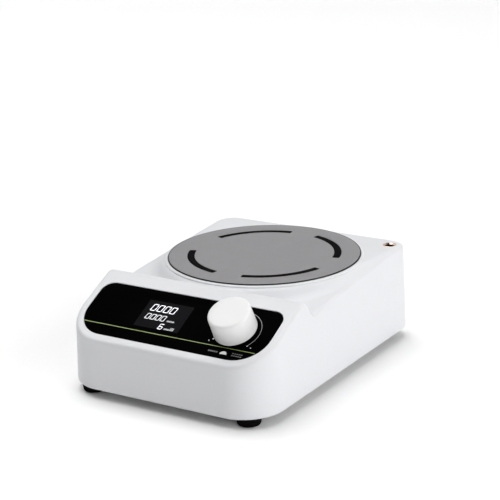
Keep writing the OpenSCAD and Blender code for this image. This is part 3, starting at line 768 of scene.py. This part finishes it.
LAMINATION = metal("laminated_steel", (0.16, 0.16, 0.17), 0.45, stretch=(0.1, 0.1, 4), grain=0.03)
COPPER = metal("enamelled_copper", (0.62, 0.25, 0.10), 0.3, stretch=(0.3, 0.3, 5), grain=0.08)
FERRITE = metal("ferrite", (0.06, 0.06, 0.065), 0.5, metallic=0.4)
NICKEL = metal("nickel_plate", (0.66, 0.65, 0.62), 0.16)
BLACK_RUBBER = rubber("black_rubber", (0.0025, 0.0025, 0.0025), gloss=0.02)
SEAL_RUBBER = rubber("seal_rubber", (0.035, 0.035, 0.036), gloss=0.05)
GREY_SHEATH = rubber("grey_sheath", (0.30, 0.30, 0.31), 0.5)
RED_SHEATH = rubber("red_sheath", (0.30, 0.02, 0.02), 0.5)
BLACK_SHEATH = rubber("black_sheath", (0.015, 0.015, 0.015), 0.5)
GREEN_INK = plastic("green_ink", (0.27, 0.36, 0.09), 0.4)
WHITE_INK = plastic("white_ink", (0.80, 0.80, 0.80), 0.4)
PALE_INK = plastic("pale_ink", (0.42, 0.42, 0.42), 0.4)
GREY_INK = plastic("grey_ink", (0.13, 0.13, 0.13), 0.4)
LIT_WHITE = lit("lit_segments", (0.95, 0.97, 1.0), 1.0)
LIT_SOFT = lit("lit_small_segments", (0.95, 0.97, 1.0), 0.75)
LIT_DIM = lit("lit_unit_marks", (0.95, 0.97, 1.0), 0.45)

CAD_LOOKS = {
    "base_plate": GREY_BASE, "cover_screws": STEEL, "foot_screws": STEEL, "plate_gasket": SEAL_RUBBER,
    "display_module": BLACK_PLASTIC, "control_board": BOARD, "control_board_screws": STEEL,
    "encoder_body": ALLOY, "encoder_plunger": IVORY_PLASTIC, "encoder_shaft": ALLOY, "encoder_washer": STEEL,
    "encoder_nut": STEEL, "motor_can": CAN_STEEL, "motor_flange": ALLOY, "motor_stator": LAMINATION,
    "motor_coils": COPPER, "motor_rotor": FERRITE, "motor_shaft": SHAFT_STEEL, "front_bush": BRONZE,
    "rear_bush": BRONZE, "speed_sensor_board": BOARD, "motor_bracket": BRACKET_STEEL, "motor_screws": STEEL,
    "bracket_screws": STEEL, "magnet_holder": HOLDER_PLASTIC, "magnet_yoke": BRACKET_STEEL,
    "drive_magnet_north": NICKEL, "drive_magnet_south": NICKEL, "hub_set_screw": SHAFT_STEEL,
    "driver_board": BOARD, "driver_capacitors": CAPACITOR_SLEEVE, "driver_chips": CHIP_PLASTIC,
    "board_connectors": IVORY_PLASTIC, "driver_board_screws": STEEL, "display_cable": GREY_SHEATH,
    "motor_cable": RED_SHEATH, "power_cable": BLACK_SHEATH, "switch_housing": BLACK_PLASTIC,
    "switch_rocker": BLACK_PLASTIC, "switch_terminals": BRASS, "dc_jack": BLACK_PLASTIC, "jack_nut": STEEL,
    "jack_pin": NICKEL,
}


# ---------------- pieces

def housing_inside_parts():
    """Posts, the insert's boss and the bay's walls, which are moulded with the housing."""
    parts = [rod("post", POST_R, POST_LOW, POST_TOP, 48, at(x, y)) for x, y in post_places()]
    parts.append(rod("boss", INSERT_BOSS_R, INSERT_LOW - 2, DECK_Z - 1, 64, at(*INSERT_MID[:2])))
    low = [c - WALL for c in BAY_LOW]
    high = [c + WALL for c in BAY_HIGH]
    outline = mirrored(rounded_box(low, high, BAY_BLOCK_R, BAY_BLOCK_R))
    parts.append(stack("bay_block", outline, [(0, -WALL), (0, 2)], rear_matrix(0, 0)))
    return parts


def post_places():
    """Where the six posts stand."""
    return [(x, y) for x in (-POST_X, POST_X) for y in POST_YS]


def mirrored(outline):
    """The same outline with its y turned over, for shapes on the rear wall whose y runs down."""
    return lambda inset: [(x, -y) for x, y in outline(inset)][::-1]


def recess_cutter():
    """The round recess for the work plate, with a chamfered edge."""
    top = RIM_TOP + RECESS_CHAMFER * 2
    profile = [
        (0, RECESS_Z), (RECESS_R, RECESS_Z), (RECESS_R, RIM_TOP - RECESS_CHAMFER),
        (RECESS_R + RECESS_CHAMFER * 3, top), (0, top),
    ]
    return lathe("cut_recess", profile, PLATE_SEGMENTS, at(0, PLATE_MID[1]))


def insert_cutter():
    """The stepped seat for the rod insert, with a chamfered mouth."""
    body_r = INSERT_R - 0.48
    flange_r = INSERT_R + 0.03
    flange_z = DECK_Z - 0.8
    mouth = DECK_Z + 0.6
    profile = [
        (0, INSERT_LOW), (body_r, INSERT_LOW), (body_r, flange_z), (flange_r, flange_z),
        (flange_r, DECK_Z - 0.2), (INSERT_R + 0.6, mouth), (0, mouth),
    ]
    return lathe("cut_insert", profile, 64, at(*INSERT_MID[:2]))


def housing_cutters():
    """Everything that is cut out of the housing."""
    panel = rounded_box((-PANEL_W / 2, PANEL_LO), (PANEL_W / 2, PANEL_HI), PANEL_LOW_R, PANEL_HIGH_R, 16)
    half = [h + 0.3 for h in SCREEN_HALF]
    window = rounded_box([-h for h in half], half, 0.5, 0.5, 3)
    bay = mirrored(rounded_box(BAY_LOW, BAY_HIGH, BAY_R, BAY_R))
    switch_half = [s / 2 for s in SWITCH_CUT]
    switch = rounded_box([-s for s in switch_half], switch_half, 0.3, 0.3, 2)
    cutters = [
        recess_cutter(),
        insert_cutter(),
        stack("cut_panel", panel, [(0, -PANEL_DEPTH), (0, -0.3), (-1.0, 0.7)], panel_matrix()),
        stack("cut_window", window, [(0, -9), (0, 4)], panel_matrix(*SCREEN_MID)),
        rod("cut_encoder", ENCODER_HOLE_R, -8, 4, 48, panel_matrix(*KNOB_AT)),
        stack("cut_bay", bay, [(0, 0), (0, 3.4), (-1.4, 5.4)], rear_matrix(0, 0)),
        stack("cut_switch", switch, [(0, -8), (0, 3)], rear_matrix(SWITCH[0], SWITCH[2])),
        rod("cut_jack", JACK_HOLE_R, -8, 3, 48, rear_matrix(JACK[0], JACK[2])),
    ]
    for x, y in post_places():
        cutters.append(rod("cut_screw", SCREW_BORE_R, SCREW_BORE_LOW, SCREW_BORE_TOP, 32, at(x, y)))
    return cutters


def plate_rim():
    """The ring that stands round the plate, a little above the deck."""
    low = CEILING_Z + 1
    profile = [
        (RECESS_R - 1, low), (RECESS_R - 1, RIM_TOP), (COLLAR_R - RIM_EDGE * 2, RIM_TOP),
        (COLLAR_R - RIM_EDGE, RIM_TOP - 0.1), (COLLAR_R, RIM_TOP - RIM_EDGE), (COLLAR_R, low),
    ]
    return lathe("rim", profile, PLATE_SEGMENTS, at(0, PLATE_MID[1]))


def build_housing():
    """The white top cover."""
    margin = 3.0
    reach = FOOT_H * math.tan(DRAFT) + 2
    low = (-BODY_W / 2 - reach - margin, FRONT_Y - reach - margin, FOOT_H - margin)
    high = (BODY_W / 2 + reach + margin, REAR_Y + reach + margin, HOUSING_TOP + margin)
    cell = 1.2
    skin = surface_net("housing_cover", housing_field, low, high, cell)
    cavity_low = (low[0], low[1], FOOT_H - 2 * margin)

    def open_cavity(x, y, z):
        return np.maximum(cavity_field(x, y, z), FOOT_H - margin - z)

    cavity = surface_net("cavity", open_cavity, cavity_low, high, 2.4)
    combine(skin, [plate_rim()], "UNION")
    combine(skin, [cavity], "DIFFERENCE")
    combine(skin, housing_inside_parts(), "UNION")
    combine(skin, housing_cutters(), "DIFFERENCE")
    paint(smooth(skin, 32), WHITE_HOUSING)
    place_piece(skin, "white_housing", "top_cover")


def build_plate():
    """The grey work plate with its four slots, and the black strips that fill them."""
    place = at(0, PLATE_MID[1])
    bottom = PLATE_TOP - PLATE_T
    profile = (
        [(0, bottom), (PLATE_R - PLATE_EDGE_R, bottom), (PLATE_R, bottom + PLATE_EDGE_R)]
        + arc((PLATE_R - PLATE_EDGE_R, PLATE_TOP - PLATE_EDGE_R), PLATE_EDGE_R, 0, 90, 4) + [(0, PLATE_TOP)]
    )
    plate = lathe("work_plate_disc", profile, PLATE_SEGMENTS, place)
    turns = {name: math.radians(turn) for name, turn in STRIP_TURNS.items()}
    low, high = bottom - 1, PLATE_TOP + 1
    slots = [strip_solid("slot", turn, STRIP_GAP, low, high, 0, place) for turn in turns.values()]
    combine(plate, slots, "DIFFERENCE")
    paint(smooth(plate), PLATE_METAL)
    place_piece(plate, "grey_plate", "work_plate")
    for name, turn in turns.items():
        node = "grip_strip_" + name
        low = box_mm(node)[0][2]
        strip = strip_solid("grip_" + name, turn, 0, low, PLATE_TOP - 0.02, STRIP_EDGE_R, place)
        paint(smooth(strip), BLACK_RUBBER)
        place_piece(strip, "black_rubber", node)


def strip_solid(name, turn, grow, bottom, top, rounding, place):
    """An arc-shaped bar about the plate's middle, with cut corners at its ends."""
    steps = 36

    def outline(inset):
        half = STRIP_W / 2 + grow - inset
        reach = STRIP_SPAN / 2 + (grow - inset) / STRIP_R
        cut = STRIP_CORNER / STRIP_R
        angles = [turn - reach + cut + (2 * reach - 2 * cut) * i / steps for i in range(steps + 1)]
        outer = [polar(STRIP_R + half, a) for a in angles]
        inner = [polar(STRIP_R - half, a) for a in reversed(angles)]
        far = STRIP_R + half - STRIP_CORNER
        near = STRIP_R - half + STRIP_CORNER
        end = [polar(far, turn + reach), polar(near, turn + reach)]
        start = [polar(near, turn - reach), polar(far, turn - reach)]
        return outer + end + inner + start

    return stack(name, outline, rounded_levels(bottom, top, 0, rounding, 3), place)


def polar(radius, turn):
    """A point at a distance and a direction in radians."""
    return (radius * math.cos(turn), radius * math.sin(turn))


def build_lens():
    """The glossy black panel and its smoked window."""
    low = (-PANEL_W / 2 + PANEL_GAP, PANEL_LO + PANEL_GAP)
    high = (PANEL_W / 2 - PANEL_GAP, PANEL_HI - PANEL_GAP)
    outline = rounded_box(low, high, PANEL_LOW_R - PANEL_GAP, PANEL_HIGH_R - PANEL_GAP, 20)
    levels = rounded_levels(0, LENS_T, 0, PANEL_EDGE_R)
    lens = stack("control_panel", outline, levels, panel_matrix(h=-PANEL_DEPTH))
    window = rounded_box([-h for h in SCREEN_HALF], SCREEN_HALF, SCREEN_CORNER_R, SCREEN_CORNER_R, 3)
    cutters = [
        stack("cut", window, [(0, -3), (0, 3)], panel_matrix(*SCREEN_MID)),
        rod("cut", ENCODER_HOLE_R, -3, 3, 48, panel_matrix(*KNOB_AT)),
    ]
    combine(lens, cutters, "DIFFERENCE")
    paint(smooth(lens), BLACK_PANEL)
    place_piece(lens, "black_panel", "panel_lens")
    pane_gap = 0.03
    half = [h - pane_gap for h in SCREEN_HALF]
    corner = SCREEN_CORNER_R - pane_gap
    pane_outline = rounded_box([-h for h in half], half, corner, corner, 3)
    pane_levels = rounded_levels(-PANEL_DEPTH, LENS_TOP, 0, 0.05, 2)
    pane = stack("smoked_pane", pane_outline, pane_levels, panel_matrix(*SCREEN_MID))
    paint(smooth(pane), DARK_WINDOW)
    place_piece(pane, "dark_window", "display_window")


def printed(name, outlines, material, slot):
    """Thin raised shapes on the panel, from outlines of (x, s)."""
    levels = [(0, LENS_TOP - 0.01), (0, LENS_TOP + PRINT_T)]
    parts = [stack("mark", lambda inset, o=outline: o, levels, panel_matrix()) for outline in outlines]
    marks = join(name, parts)
    paint(marks, material)
    place_piece(marks, slot)


def bar(x, s, width, height, lean=0.0):
    """Outline of a small bar whose lower left corner is at x, s."""
    return [(x, s), (x + width, s), (x + width + lean * height, s + height), (x + lean * height, s + height)]


def digit(character, x, s, size, stroke):
    """Outlines of a seven-segment figure's lit segments."""
    width, height = size
    gap = stroke * 0.12
    half = stroke / 2

    def sloped(points):
        return [(x + px + FIGURE_LEAN * py, s + py) for px, py in points]

    def level(py):
        left, right = half + gap, width - half - gap
        return [(left, py), (left + half, py - half), (right - half, py - half), (right, py),
                (right - half, py + half), (left + half, py + half)]

    def upright(px, low, high):
        low, high = low + gap, high - gap
        return [(px, low), (px + half, low + half), (px + half, high - half), (px, high),
                (px - half, high - half), (px - half, low + half)]

    middle = height / 2
    shapes = {
        "a": level(height - half), "g": level(middle), "d": level(half),
        "f": upright(half, middle, height - half), "b": upright(width - half, middle, height - half),
        "e": upright(half, half, middle), "c": upright(width - half, half, middle),
    }
    return [sloped(shapes[name]) for name in SEGMENTS[character]]


def figure_row(text, x, s, pitch, size, stroke):
    """Outlines of a row of figures whose first one has its lower left corner at x, s."""
    shapes = []
    for i, character in enumerate(text):
        shapes += digit(character, x + pitch * i, s, size, stroke)
    return shapes


def tick_row(x, s, count, height, pitch):
    """Outlines of a row of thin slanted ticks, which stand where a unit is written."""
    return [bar(x + pitch * i, s, UNIT_TICK_W, height, FIGURE_LEAN) for i in range(count)]


def build_display():
    """Lit figures in the window. The units beside them are plain ticks."""
    large = figure_row(**TOP_FIGURES) + figure_row(**LOW_FIGURE)
    units = [tick for row in UNIT_TICKS for tick in tick_row(**row)]
    printed("lit_figures", large, LIT_WHITE, "display")
    printed("lit_small_figures", figure_row(**MIDDLE_FIGURES), LIT_SOFT, "display")
    printed("lit_units", units, LIT_DIM, "display")


def dial_place(radius, degrees):
    """A point of the panel at a distance and a direction from the knob's middle."""
    x, s = polar(radius, math.radians(degrees))
    return (KNOB_AT[0] + x, KNOB_AT[1] + s)


def build_prints():
    """The green line, the dial's arc with its end dots, and the half disc and labels under the knob."""
    printed("green_line", [bar(**GREEN_LINE)], GREEN_INK, "white_housing")
    outer = arc(KNOB_AT, DIAL_R + DIAL_LINE_W / 2, DIAL_FROM, DIAL_TO, 90)
    inner = arc(KNOB_AT, DIAL_R - DIAL_LINE_W / 2, DIAL_TO, DIAL_FROM, 90)
    printed("dial_arc", [outer + inner], PALE_INK, "white_housing")
    dots = [arc(dial_place(dot["distance"], dot["degrees"]), dot["radius"], 0, 345, 23) for dot in DIAL_DOTS]
    dome = arc(KEY_DOME_AT, KEY_DOME_R, 0, 180, 20)
    printed("dial_marks", dots + [dome], WHITE_INK, "white_housing")
    bars = [
        bar(label["x"] + label["pitch"] * i, s, *label["size"])
        for label in LABELS for i in range(LABEL_BARS) for s in label["rows"]
    ]
    printed("key_marks", bars, GREY_INK, "white_housing")


def build_knob():
    """The white knob, hollow underneath, with a soft top edge and a slightly dished face."""
    foot = (KNOB_R - KNOB_FOOT_R, KNOB_GAP + KNOB_FOOT_R)
    shoulder = (KNOB_R - KNOB_TAPER - KNOB_TOP_R, KNOB_H - KNOB_TOP_R)
    outer = (
        [(KNOB_R - KNOB_FOOT_R, KNOB_GAP)] + arc(foot, KNOB_FOOT_R, -90, 0, 4)
        + arc(shoulder, KNOB_TOP_R, 0, 80, 12)
        + [(KNOB_R * 0.6, KNOB_H - 0.02), (KNOB_R * 0.3, KNOB_H - KNOB_DISH), (0, KNOB_H - KNOB_DISH)]
    )
    hub = [
        (0, SOCKET_TOP), (SOCKET_R, SOCKET_TOP), (SOCKET_R, HUB_LOW + 0.3), (3.3, HUB_LOW),
        (HUB_R, HUB_LOW), (HUB_R, HUB_TOP), (HUB_R + 0.4, KNOB_CEILING),
    ]
    inside = KNOB_R - KNOB_WALL
    wall = [
        (inside - 0.4, KNOB_CEILING), (inside, HUB_TOP), (inside, KNOB_GAP + 0.3), (inside + 0.3, KNOB_GAP),
    ]
    knob = lathe("control_knob", outer + hub + wall, 160, panel_matrix(*KNOB_AT))
    paint(smooth(knob, 40), WHITE_KNOB)
    place_piece(knob, "white_knob", "knob", body="knob_and_shaft")


def insert_outside():
    """The insert's outside from the bore's lower end up to its face: a grooved body and a flange."""
    profile = [(INSERT_BORE_R, INSERT_LOW), (INSERT_BODY_R, INSERT_LOW)]
    for i in range(GROOVES):
        z = INSERT_LOW + 1.5 + GROOVE_PITCH * i
        floor = INSERT_BODY_R - GROOVE_DEPTH
        profile += [(INSERT_BODY_R, z), (floor, z + 0.3), (floor, z + 0.9), (INSERT_BODY_R, z + 1.2)]
    flange_z = INSERT_TOP - FLANGE_T
    profile += [(INSERT_BODY_R, flange_z), (INSERT_R, flange_z)]
    profile += [(INSERT_R, INSERT_TOP - 0.15), (INSERT_R - 0.15, INSERT_TOP)]
    return profile + [(INSERT_BORE_R + INSERT_CHAMFER, INSERT_TOP)]


def insert_thread():
    """The bore from its chamfer down, with a ring-shaped groove for each turn of thread."""
    start = INSERT_TOP - INSERT_CHAMFER
    profile = [(INSERT_BORE_R, start)]
    for i in range(int((INSERT_TOP - INSERT_LOW - 2 * INSERT_CHAMFER) / THREAD_PITCH)):
        top = start - THREAD_PITCH * i
        profile += [
            (INSERT_BORE_R, top - THREAD_PITCH * 0.1),
            (INSERT_BORE_R + THREAD_DEPTH, top - THREAD_PITCH * 0.5),
            (INSERT_BORE_R, top - THREAD_PITCH * 0.9),
        ]
    return profile


def build_insert():
    """The threaded insert for a support rod, with painted shade in its bore: the thread's faces get a nearly
    black metal.
    """
    place = at(*INSERT_MID[:2])
    insert = lathe("threaded_insert", insert_outside() + insert_thread(), 72, place)
    paint(smooth(insert, 25), INSERT_METAL)
    # The second, nearly black material goes on the faces deep in the bore as painted shade
    insert.data.materials.append(BORE_PAINTED_SHADE)
    for face in insert.data.polygons:
        mid = face.center / MM
        from_axis = math.hypot(mid.x - INSERT_MID[0], mid.y - INSERT_MID[1])
        if from_axis < INSERT_BORE_R + 0.5 and mid.z < INSERT_TOP - INSERT_CHAMFER:
            face.material_index = 1
    place_piece(insert, "brass", "rod_insert")


def build_feet():
    """Four rubber feet with a rounded tread, a recess for the screw and a short neck."""
    profile = (
        [(FOOT_BORE_R, FOOT_RECESS_H), (FOOT_RECESS_R, FOOT_RECESS_H), (FOOT_RECESS_R, 0.3), (3.5, 0)]
        + arc((FOOT_LOW_R - FOOT_ROUND, FOOT_ROUND), FOOT_ROUND, -90, -6, 10)
        + arc((FOOT_TOP_R - FOOT_TOP_ROUND, FOOT_H - FOOT_TOP_ROUND), FOOT_TOP_ROUND, -6, 90, 6)
        + [(FOOT_NECK_R, FOOT_H), (FOOT_NECK_R, FOOT_H + FOOT_NECK_H), (FOOT_BORE_R, FOOT_H + FOOT_NECK_H)]
    )
    for place in ("front_left", "front_right", "rear_left", "rear_right"):
        mid = middle_mm("foot_" + place)
        foot = lathe("rubber_foot_" + place, profile, 64, at(*mid[:2]))
        paint(smooth(foot), BLACK_RUBBER)
        place_piece(foot, "black_rubber", "foot_" + place)


def finish_cad_nodes():
    """Gives the CAD parts that stay their finishes, with softened edges where they are seen."""
    for node, material in CAD_LOOKS.items():
        smooth(paint(frame["nodes"][node], material), 30)
    for node in ("switch_housing", "switch_rocker", "dc_jack"):
        bevel = frame["nodes"][node].modifiers.new("edges", "BEVEL")
        bevel.width = 0.25 * MM
        bevel.segments = 2
        bevel.limit_method = "ANGLE"
        bevel.angle_limit = math.radians(40)


# ---------------- stage, lights and camera

CAMERA_YAW = math.radians(32.69)
CAMERA_PITCH = math.radians(17.67)
CAMERA_ROLL = math.radians(1.97)
CAMERA_DISTANCE = 1218.4
CAMERA_TARGET = Vector((-47.5, 87.3, 50.0))
CAMERA_LENS = 116.3

# Soft lights: the direction each one comes from, how wide it looks in degrees, and its strength
SOFT_LIGHTS = {
    "above": ((-0.25, 0.0, 1.0), 50, 1.75),
    "behind": ((-0.1, 0.8, 1.0), 50, 0.6),
    "left": ((-1.0, 0.2, 0.9), 50, 0.5),
    "right_front": ((1.0, -0.45, 0.35), 45, 1.05),
    "right_rear": ((1.0, 0.1, 0.35), 45, 1.15),
}
SKY_BEHIND = 0.87
SKY_FRONT = 0.05

# Floor and backdrop, in metres
FLOOR_HALF_W = 8
FLOOR_FRONT = -6
FLOOR_BEND = 2.2
FLOOR_BEND_R = 1
BACKDROP_TOP = 5


def build_camera():
    """The camera stands low on the front right and looks down on the object."""
    back = Vector((
        math.sin(CAMERA_YAW) * math.cos(CAMERA_PITCH),
        -math.cos(CAMERA_YAW) * math.cos(CAMERA_PITCH),
        math.sin(CAMERA_PITCH),
    ))
    right = (-back).cross(Vector((0, 0, 1))).normalized()
    up = right.cross(-back)
    rolled_right = right * math.cos(CAMERA_ROLL) - up * math.sin(CAMERA_ROLL)
    rolled_up = right * math.sin(CAMERA_ROLL) + up * math.cos(CAMERA_ROLL)
    data = bpy.data.cameras.new("camera")
    data.sensor_width = 36
    data.lens = CAMERA_LENS
    data.clip_start = 0.05
    data.clip_end = 50
    camera = add_object("camera", data)
    turn = Matrix((rolled_right, rolled_up, back)).transposed().to_4x4()
    camera.matrix_world = Matrix.Translation((CAMERA_TARGET + back * CAMERA_DISTANCE) * MM) @ turn
    bpy.context.scene.camera = camera


def soft_light(name, direction, width, strength):
    """A wide, distant light, so that the floor is lit evenly."""
    data = bpy.data.lights.new(name, "SUN")
    data.angle = math.radians(width)
    data.energy = strength
    light = add_object(name, data)
    light.rotation_euler = Vector(direction).to_track_quat("Z", "Y").to_euler()


def build_floor():
    """A pale floor that runs up into a backdrop."""
    bend = arc((FLOOR_BEND, FLOOR_BEND_R), FLOOR_BEND_R, -90, 0, 9)
    sweep = [(FLOOR_FRONT, 0)] + bend + [(FLOOR_BEND + FLOOR_BEND_R, BACKDROP_TOP)]
    points = [(x, y, z) for y, z in sweep for x in (-FLOOR_HALF_W, FLOOR_HALF_W)]
    faces = [[2 * i, 2 * i + 1, 2 * i + 3, 2 * i + 2] for i in range(len(sweep) - 1)]
    mesh = bpy.data.meshes.new("floor")
    mesh.from_pydata(points, [], faces)
    mesh.shade_smooth()
    floor = add_object("floor", mesh)
    material, nodes, links, shader = new_material("paper_floor")
    place = place_texture(nodes, links)
    clouds = noise(nodes, links, place, 0.01)
    tone = mix_colours(nodes, links, clouds, (0.95, 0.95, 0.95), (0.96, 0.96, 0.96))
    links.new(tone, shader.inputs["Base Color"])
    shader.inputs["Roughness"].default_value = 0.9
    shader.inputs["Specular IOR Level"].default_value = 0.1
    paint(floor, material)


def build_stage():
    """The floor, the lights and the sky."""
    build_floor()
    bpy.context.scene.world = studio_world()
    for name, (direction, width, strength) in SOFT_LIGHTS.items():
        soft_light(name, direction, width, strength)
    bpy.context.scene.view_settings.view_transform = "Standard"


def studio_world():
    """A sky that looks plain white, and lights the object from behind more than from the front."""
    world = bpy.data.worlds.new("studio")
    world.use_nodes = True
    nodes = world.node_tree.nodes
    links = world.node_tree.links
    coordinates = nodes.new("ShaderNodeTexCoord")
    parts = nodes.new("ShaderNodeSeparateXYZ")
    links.new(coordinates.outputs["Generated"], parts.inputs["Vector"])
    glow = spread(nodes, links, parts.outputs["Y"], SKY_FRONT, SKY_BEHIND, 0, 0.6)
    path = nodes.new("ShaderNodeLightPath")
    strength = nodes.new("ShaderNodeMix")
    links.new(path.outputs["Is Camera Ray"], strength.inputs["Factor"])
    links.new(glow, strength.inputs["A"])
    strength.inputs["B"].default_value = 1.0
    background = nodes["Background"]
    background.inputs["Color"].default_value = (1, 1, 1, 1)
    links.new(strength.outputs["Result"], background.inputs["Strength"])
    return world


# ---------------- build

build_housing()
build_plate()
build_lens()
build_display()
build_prints()
build_knob()
build_insert()
build_feet()
finish_cad_nodes()
build_stage()
build_camera()
